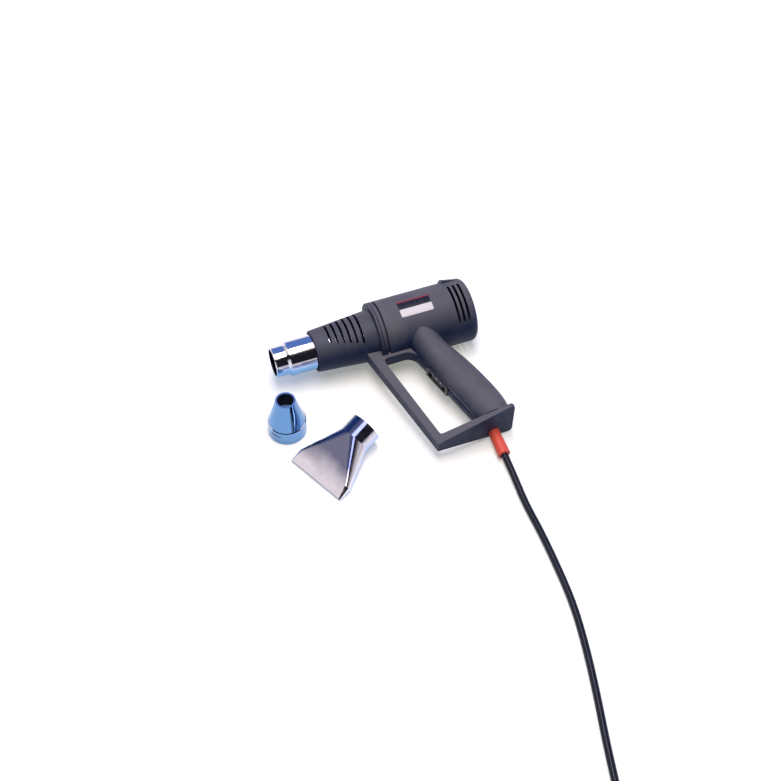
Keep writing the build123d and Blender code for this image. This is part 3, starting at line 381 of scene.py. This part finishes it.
studio = bpy.data.worlds.new("studio")
bpy.context.scene.world = studio
studio.use_nodes = True
tree = studio.node_tree
outward = add_node(tree, "ShaderNodeTexCoord").outputs["Generated"]
walls = add_node(tree, "ShaderNodeValToRGB")
nearness = along_axis(tree, outward, near_wall)
feed(tree, walls.inputs["Fac"], spread(tree, nearness, low=-1.0, high=1.0))
for element, stop in zip(walls.color_ramp.elements, (wall_stops[0], wall_stops[-1])):
    element.position, element.color = stop
for position, colour in wall_stops[1:-1]:
    walls.color_ramp.elements.new(position).color = colour
height = part_of(tree, outward, "Z")
lowness = spread(tree, height, low=0.06, high=0.16, start=1.0, end=0.0)
background = tree.nodes["Background"]
surround = blend_colours(tree, lowness, walls.outputs["Color"], low_band)
feed(tree, background.inputs["Color"], surround)
background.inputs["Strength"].default_value = 1.0

lamp = bpy.data.lights.new("overhead_box", "AREA")
lamp.shape = "RECTANGLE"
lamp.size = soft_box_width
lamp.size_y = soft_box_reach
lamp.energy = soft_box_watts
lamp.color = soft_box_tint
overhead_box = bpy.data.objects.new("overhead_box", lamp)
overhead_box.location = near_wall * soft_box_shift + Vector((0, 0, soft_box_rise))
overhead_box.rotation_euler = (0, 0, atan2(near_wall.y, near_wall.x) + pi / 2)
bpy.context.scene.collection.objects.link(overhead_box)


# Case: two halves moulded in dark glass-filled nylon with a fine leather-like grain. They
# are screwed together on the middle plane of the gun and clasp everything else.
nylon_sheen = (0.36, 0.56, 1.0, 1.0)


def nylon_finish(name, colour, pale_colour):
    """Dark nylon with a cool sheen, dust in soft clouds, and a pale painted highlight where it
    faces up.
    """
    finish = moulded_finish(
        name,
        colour,
        pale_colour,
        grain=1900.0, depth=0.35, gloss=0.44, dull=0.58, level=0.20, top_highlight=0.9,
    )
    shader = finish.node_tree.nodes["Principled BSDF"]
    shader.inputs["Specular Tint"].default_value = nylon_sheen
    return finish


# The second colour is a painted highlight where the case faces up, and dust in soft clouds.
case_plastic = nylon_finish("case_plastic", (0.011, 0.020, 0.054), (0.122, 0.115, 0.126))
dress(case_plastic, "upper_case", "lower_case")

# Front shroud: a slotted cone in the same nylon that keeps hands off the hot tube. Its
# flange is trapped in the front of the case.
# The second colour is a painted highlight where the shroud faces up, and dust in soft clouds.
shroud_plastic = nylon_finish("shroud_plastic", (0.010, 0.019, 0.052), (0.100, 0.097, 0.110))
dress(shroud_plastic, "front_shroud")


# Plated metal: chromium over steel, with faint polishing lines, a haze of handling and a
# painted reflection, blue on the faces turned away from the top.
reflected_blue_waver = 0.12
polish_stretch = (0.08, 1.0, 1.0)
line_depth = 0.0001


def fine_lines(tree, place, stretch, scale):
    """Noise stretched into lines, left by polishing or drawing."""
    node = add_node(tree, "ShaderNodeMapping")
    feed(tree, node.inputs["Vector"], place)
    feed(tree, node.inputs["Scale"], stretch)
    return noise(tree, node.outputs["Vector"], scale)


plated, given = new_surface(
    "plated_surface",
    vectors=("Place", "Facing"),
    colours=("Metal", "Temper"),
    values=("Temper low", "Temper high", "Polish", "Haze"),
)
# Painted reflection: faces turned away from the top are blended to the blue colour, with a wavering
# edge.
drift = noise(plated, given["Place"], scale=45.0, detail=3.0)
waver = spread(plated, drift, low=0.0, high=1.0, start=-reflected_blue_waver, end=reflected_blue_waver)
upward = combine(plated, "ADD", part_of(plated, given["Facing"], "Z"), waver)
reflected_share = spread(
    plated, upward, low=given["Temper low"], high=given["Temper high"], start=1.0, end=0.0
)
smudges = noise(plated, given["Place"], scale=90.0, detail=6.0, roughness=0.7)
lines = fine_lines(plated, given["Place"], stretch=polish_stretch, scale=2600.0)
put_out(
    plated,
    Colour=blend_colours(plated, reflected_share, given["Metal"], given["Temper"]),
    Roughness=spread(plated, smudges, low=0.45, high=0.8, start=given["Polish"], end=given["Haze"]),
    Normal=bump(plated, lines, strength=0.05, distance=line_depth),
)


def plated_finish(name, metal, reflected_blue, low, high, polish, haze):
    """Chromium plate with the shared plated surface, and a painted blue reflection on faces turned
    away from the top.
    """
    finish, shader = surfaced(
        name,
        plated,
        Metal=(*metal, 1),
        Temper=(*reflected_blue, 1),
        Temper_low=low,
        Temper_high=high,
        Polish=polish,
        Haze=haze,
    )
    shader.inputs["Metallic"].default_value = 1.0
    return finish


# Outlet tube: thin chromed steel with a stepped tip. Its flange is clamped on the seat
# inside the shroud by a ring and three screws.
# The second colour is a painted blue reflection on the faces turned away from the top.
outlet_chrome = plated_finish(
    "outlet_chrome",
    (0.74, 0.69, 0.73),
    (0.14, 0.32, 0.60),
    low=0.0, high=0.45, polish=0.05, haze=0.14,
)
dress(outlet_chrome, "outlet_tube")

# Cone nozzle: a spun steel cone with a slit spring collar, plated like the tube. Its inner
# wall, which faces down, is painted dark as shade and made rough.
inner_shade_tone = (0.020, 0.040, 0.080, 1)
inner_roughness = 0.9
# The second colour is a painted blue reflection on the faces turned away from the top.
cone_chrome = plated_finish(
    "cone_chrome",
    (0.86, 0.80, 0.84),
    (0.135, 0.28, 0.52),
    low=0.40, high=0.80, polish=0.07, haze=0.18,
)
tree = cone_chrome.node_tree
surface = tree.nodes["Group"].outputs
shader = tree.nodes["Principled BSDF"]
# Painted shade: the inner wall, which faces down, is blended to a dark tone and made rough.
inner_wall = part_of(tree, tree.nodes["Texture Coordinate"].outputs["Normal"], "Z")
inner_shade = spread(tree, inner_wall, low=-0.16, high=-0.08, start=1.0, end=0.0)
inner_rough_layer = spread(tree, inner_shade, low=0.0, high=1.0, start=0.0, end=inner_roughness)
rough = combine(tree, "MAXIMUM", surface["Roughness"], inner_rough_layer)
feed(tree, shader.inputs["Base Color"], blend_colours(tree, inner_shade, surface["Colour"], inner_shade_tone))
feed(tree, shader.inputs["Roughness"], rough)
dress(cone_chrome, "cone_nozzle")

# Fishtail nozzle: a tube pressed flat into a wide slot, with two flat triangular faces, and
# plated like the tube. Its upper face carries a painted reflection, dark towards the socket.
fishtail_plate = (0.80, 0.77, 0.81)
fishtail_reflected_dark = (0.075, 0.092, 0.185)
dark_clear = 0.061
dark_full = 0.036
dark_edge_waver = 0.012
# The second colour is a painted blue reflection on the faces turned away from the top.
fishtail_chrome = plated_finish(
    "fishtail_chrome",
    fishtail_plate,
    (0.36, 0.52, 0.86),
    low=-0.10, high=0.35, polish=0.10, haze=0.26,
)
tree = fishtail_chrome.node_tree
where = tree.nodes["Texture Coordinate"].outputs
socket_mount = next(m for m in frame["record"]["mounts"] if m["name"] == "fishtail_socket")
fan_axis = Vector(socket_mount["axis"])
socket_along = fan_axis.dot(Vector(socket_mount["pos_m"]))
# Painted reflection: the upper flat face is blended to a dark tone towards the socket, with a
# wavering edge.
dark_edge_noise = noise(tree, where["Object"], scale=24.0, detail=6.0)
dark_edge_shift = spread(tree, dark_edge_noise, low=0.2, high=0.8, start=-dark_edge_waver, end=dark_edge_waver)
along = combine(tree, "ADD", along_axis(tree, where["Object"], fan_axis), dark_edge_shift)
dark_along = spread(tree, along, low=socket_along - dark_clear, high=socket_along - dark_full)
facing = part_of(tree, where["Normal"], "Z")
flat_face = spread(tree, facing, low=0.80, high=0.88, start=0.25, end=1.0)
painted_dark_share = combine(tree, "MULTIPLY", flat_face, dark_along)
plate_colour = blend_colours(tree, painted_dark_share, (*fishtail_plate, 1), (*fishtail_reflected_dark, 1))
feed(tree, tree.nodes["Group"].inputs["Metal"], plate_colour)
dress(fishtail_chrome, "fishtail_nozzle")


# Plain metal: zinc-plated steel, wire, brass and bronze, with fine drawn lines and a dull
# bloom where nothing rubs.
drawing_stretch = (1.0, 0.1, 1.0)
drawn, given = new_surface(
    "drawn_surface",
    vectors=("Place",),
    colours=("Metal", "Bloom"),
    values=("Bright", "Dull"),
)
stains = noise(drawn, given["Place"], scale=140.0, detail=5.0, roughness=0.6)
bloom = spread(drawn, stains, low=0.35, high=0.7)
fine_wear = noise(drawn, given["Place"], scale=420.0, detail=4.0)
lines = fine_lines(drawn, given["Place"], stretch=drawing_stretch, scale=3000.0)
put_out(
    drawn,
    Colour=blend_colours(drawn, bloom, given["Metal"], given["Bloom"]),
    Roughness=spread(drawn, fine_wear, low=0.3, high=0.7, start=given["Bright"], end=given["Dull"]),
    Normal=bump(drawn, lines, strength=0.1, distance=line_depth),
)


def drawn_finish(name, metal, bloomed, bright, dull):
    """Plain metal with the shared drawn surface."""
    finish, shader = surfaced(
        name, drawn, Metal=(*metal, 1), Bloom=(*bloomed, 1), Bright=bright, Dull=dull
    )
    shader.inputs["Metallic"].default_value = 1.0
    return finish


# Screws, rings, rods, shaft and motor can: turned and pressed steel with bright zinc. They
# hold the case, the outlet tube, the heater, the motor and the cord.
zinc_steel = drawn_finish(
    "zinc_steel", (0.62, 0.62, 0.64), (0.44, 0.45, 0.47), bright=0.22, dull=0.45
)
dress(
    zinc_steel,
    "case_screws",
    "tube_screws",
    "tube_ring",
    "heater_rod",
    "rod_nut",
    "cutout_bracket",
    "motor_shaft",
    "motor_can",
    "clamp_screws",
)

# Armature, heater windings and motor bushes: bare sheet steel on the shaft, coils of
# blackened resistance wire laid through the former, and oil-soaked bronze.
core_steel = drawn_finish(
    "core_steel", (0.34, 0.33, 0.34), (0.26, 0.25, 0.26), bright=0.35, dull=0.6
)
dress(core_steel, "armature")
heater_wire = drawn_finish(
    "heater_wire", (0.36, 0.33, 0.30), (0.24, 0.21, 0.20), bright=0.35, dull=0.6
)
tree = heater_wire.node_tree
windings = add_node(tree, "ShaderNodeTexWave", bands_direction="X")
feed(tree, windings.inputs["Scale"], 180.0)
feed(tree, windings.inputs["Vector"], tree.nodes["Texture Coordinate"].outputs["Object"])
turns = bump(tree, windings.outputs["Fac"], strength=0.9, distance=0.0006)
feed(tree, tree.nodes["Principled BSDF"].inputs["Normal"], turns)
dress(heater_wire, "heater_strands")
bush_bronze = drawn_finish(
    "bush_bronze", (0.60, 0.42, 0.22), (0.42, 0.29, 0.16), bright=0.3, dull=0.5
)
dress(bush_bronze, "motor_bushes")

# Mica, ceramic and ferrite inside: pale sheet and sleeve round a cream ceramic former, and
# two dark magnets in the motor.
mica = moulded_finish(
    "mica",
    (0.52, 0.46, 0.36),
    (0.66, 0.60, 0.50),
    grain=300.0, depth=0.2, gloss=0.2, dull=0.4,
)
dress(mica, "mica_sleeve", "heater_discs")
former_ceramic = moulded_finish(
    "former_ceramic",
    (0.72, 0.70, 0.64),
    (0.80, 0.78, 0.73),
    grain=1200.0, depth=0.3, gloss=0.6, dull=0.8,
)
dress(former_ceramic, "heater_former")
ferrite = moulded_finish(
    "ferrite",
    (0.06, 0.06, 0.065),
    (0.09, 0.09, 0.09),
    grain=1500.0, depth=0.4, gloss=0.5, dull=0.7,
)
dress(ferrite, "motor_magnets")

# Fan, motor mount and switch body: plain black mouldings, hidden in the case. The fan is
# pressed on the motor's shaft, and the case clasps the other two.
inner_plastic = moulded_finish(
    "inner_plastic",
    (0.030, 0.030, 0.034),
    (0.045, 0.045, 0.05),
    grain=1200.0, depth=0.2, gloss=0.35, dull=0.5,
)
dress(inner_plastic, "fan_wheel", "motor_mount", "switch_body")

# Board, motor cap, cut-out and cord clamp: brown pressed board and resin. The clamp is
# screwed down on the cord in the foot.
brown_resin = moulded_finish(
    "brown_resin",
    (0.20, 0.12, 0.05),
    (0.28, 0.18, 0.08),
    grain=900.0, depth=0.2, gloss=0.35, dull=0.55,
)
dress(brown_resin, "rectifier_board", "motor_cap", "thermal_cutout", "cord_clamp")


# Label: a thin printed foil, wrapped on the side of the barrel. A red line runs over a
# black band, and the lower half is left white.
band_black = (0.012, 0.011, 0.014, 1)
band_white = (0.66, 0.62, 0.635, 1)
line_red = (0.42, 0.020, 0.018, 1)
white_up_to = 0.45
red_from = 0.935
print_blur = 0.005
print_waver = 0.008
label_finish, tree, shader = new_finish("label_foil")
where = add_node(tree, "ShaderNodeTexCoord").outputs["Object"]
label_low, label_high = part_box("label_plate")
up_label = spread(tree, part_of(tree, where, "Y"), label_low.y, label_high.y)
bleed = noise(tree, where, scale=700.0)
ragged = spread(tree, bleed, low=0.0, high=1.0, start=-print_waver, end=print_waver)
up_print = combine(tree, "ADD", up_label, ragged)
above_white = spread(tree, up_print, low=white_up_to - print_blur, high=white_up_to + print_blur)
red_part = spread(tree, up_print, low=red_from - print_blur, high=red_from + print_blur)
bands = blend_colours(tree, above_white, band_white, band_black)
feed(tree, shader.inputs["Base Color"], blend_colours(tree, red_part, bands, line_red))
scuffs = noise(tree, where, scale=160.0, detail=5.0)
scuffed = spread(tree, scuffs, low=0.3, high=0.7, start=0.22, end=0.4)
feed(tree, shader.inputs["Roughness"], scuffed)
feed(tree, shader.inputs["Normal"], bump(tree, scuffs, strength=0.05, distance=0.0002))
dress(label_finish, "label_plate")


# Switch: a half-gloss bezel let into the front of the grip, with a ribbed knob that slides
# between off and two heats.
bezel_plastic = moulded_finish(
    "bezel_plastic",
    (0.008, 0.010, 0.018),
    (0.014, 0.016, 0.026),
    grain=2200.0, depth=0.1, gloss=0.30, dull=0.42, level=0.25,
)
dress(bezel_plastic, "switch_bezel", "switch_slider")

# Switch marks: one stroke, a ring and two strokes for the first heat, off and the second
# heat. They are printed on the bezel in white ink, which stands a tenth of a millimetre up.
mark_ink = moulded_finish(
    "mark_ink",
    (0.78, 0.78, 0.82),
    (0.66, 0.66, 0.70),
    grain=1200.0, depth=0.1, gloss=0.35, dull=0.5, level=0.4,
)
grip_root = Vector((0.03275, 0.065854, 0.0342))
grip_along = Vector((0.304030, -0.950250, -0.067696))
grip_across = Vector((0.0, -0.071060, 0.997470))
grip_front = Vector((-0.952660, -0.303261, -0.021604))
bezel_rise = 0.0010
mark_across = 0.0055
mark_height = 0.0022
mark_stroke = 0.0008
mark_places = ((0.0745, (0.0,)), (0.0812, ()), (0.0878, (-0.0007, 0.0007)))
mark_points = 20
ink_layer = 0.00010
ink_sunk = 0.00002


def print_outline(mesh, outline, inner=None):
    """Raise one closed outline, or the band between two, from the bezel's face."""
    rings = []
    for line in (outline, inner) if inner else (outline,):
        for rise in (bezel_rise - ink_sunk, bezel_rise + ink_layer):
            stand = grip_front * rise
            ring = [grip_root + grip_along * s + grip_across * z + stand for s, z in line]
            rings.append([mesh.verts.new(place) for place in ring])
    low, high = rings[:2]
    if inner:
        inner_low, inner_high = rings[2:]
        bands = ((low, high), (high, inner_high), (inner_high, inner_low), (inner_low, low))
    else:
        mesh.faces.new(low)
        mesh.faces.new(high)
        bands = ((low, high),)
    for first, second in bands:
        for index in range(len(first)):
            after = (index + 1) % len(first)
            mesh.faces.new((first[index], first[after], second[after], second[index]))


def oval(along, half_along, half_across):
    """Oval outline round a place along the grip."""
    angles = [2 * pi * index / mark_points for index in range(mark_points)]
    return [(along + half_along * cos(a), mark_across + half_across * sin(a)) for a in angles]


marks = bmesh.new()
for along_grip, strokes in mark_places:
    for offset in strokes:
        print_outline(marks, oval(along_grip + offset, mark_stroke / 2, mark_height / 2))
    if not strokes:
        print_outline(
            marks,
            oval(along_grip, mark_height / 2 - mark_stroke / 4, mark_height / 2),
            oval(along_grip, mark_height / 2 - mark_stroke, mark_height / 2 - mark_stroke),
        )
bmesh.ops.recalc_face_normals(marks, faces=marks.faces)
switch_marks_mesh = bpy.data.meshes.new("switch_marks")
marks.to_mesh(switch_marks_mesh)
marks.free()
switch_marks_mesh.materials.append(mark_ink)
switch_marks = bpy.data.objects.new("switch_marks", switch_marks_mesh)
bpy.context.scene.collection.objects.link(switch_marks)
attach(switch_marks, "gun")


# Cord boot: a tapered sleeve of orange-red rubber that keeps the cord from kinking. Its
# root is held in the foot of the case.
boot_rubber = moulded_finish(
    "boot_rubber",
    (0.80, 0.095, 0.058),
    (0.84, 0.12, 0.075),
    grain=1500.0, depth=0.2, gloss=0.38, dull=0.52, level=0.5,
)
dress(boot_rubber, "cord_boot")


# Plug: moulded on the end of the cord in the same black rubber. Its two flat blades and its
# ground pin are brass.
plug_rubber = moulded_finish(
    "plug_rubber",
    (0.010, 0.010, 0.016),
    (0.018, 0.018, 0.026),
    grain=1500.0, depth=0.2, gloss=0.30, dull=0.45, level=0.5,
)
dress(plug_rubber, "plug_body")
pin_brass = drawn_finish(
    "pin_brass", (0.74, 0.62, 0.36), (0.60, 0.50, 0.30), bright=0.2, dull=0.4
)
dress(pin_brass, "plug_blades", "ground_pin")
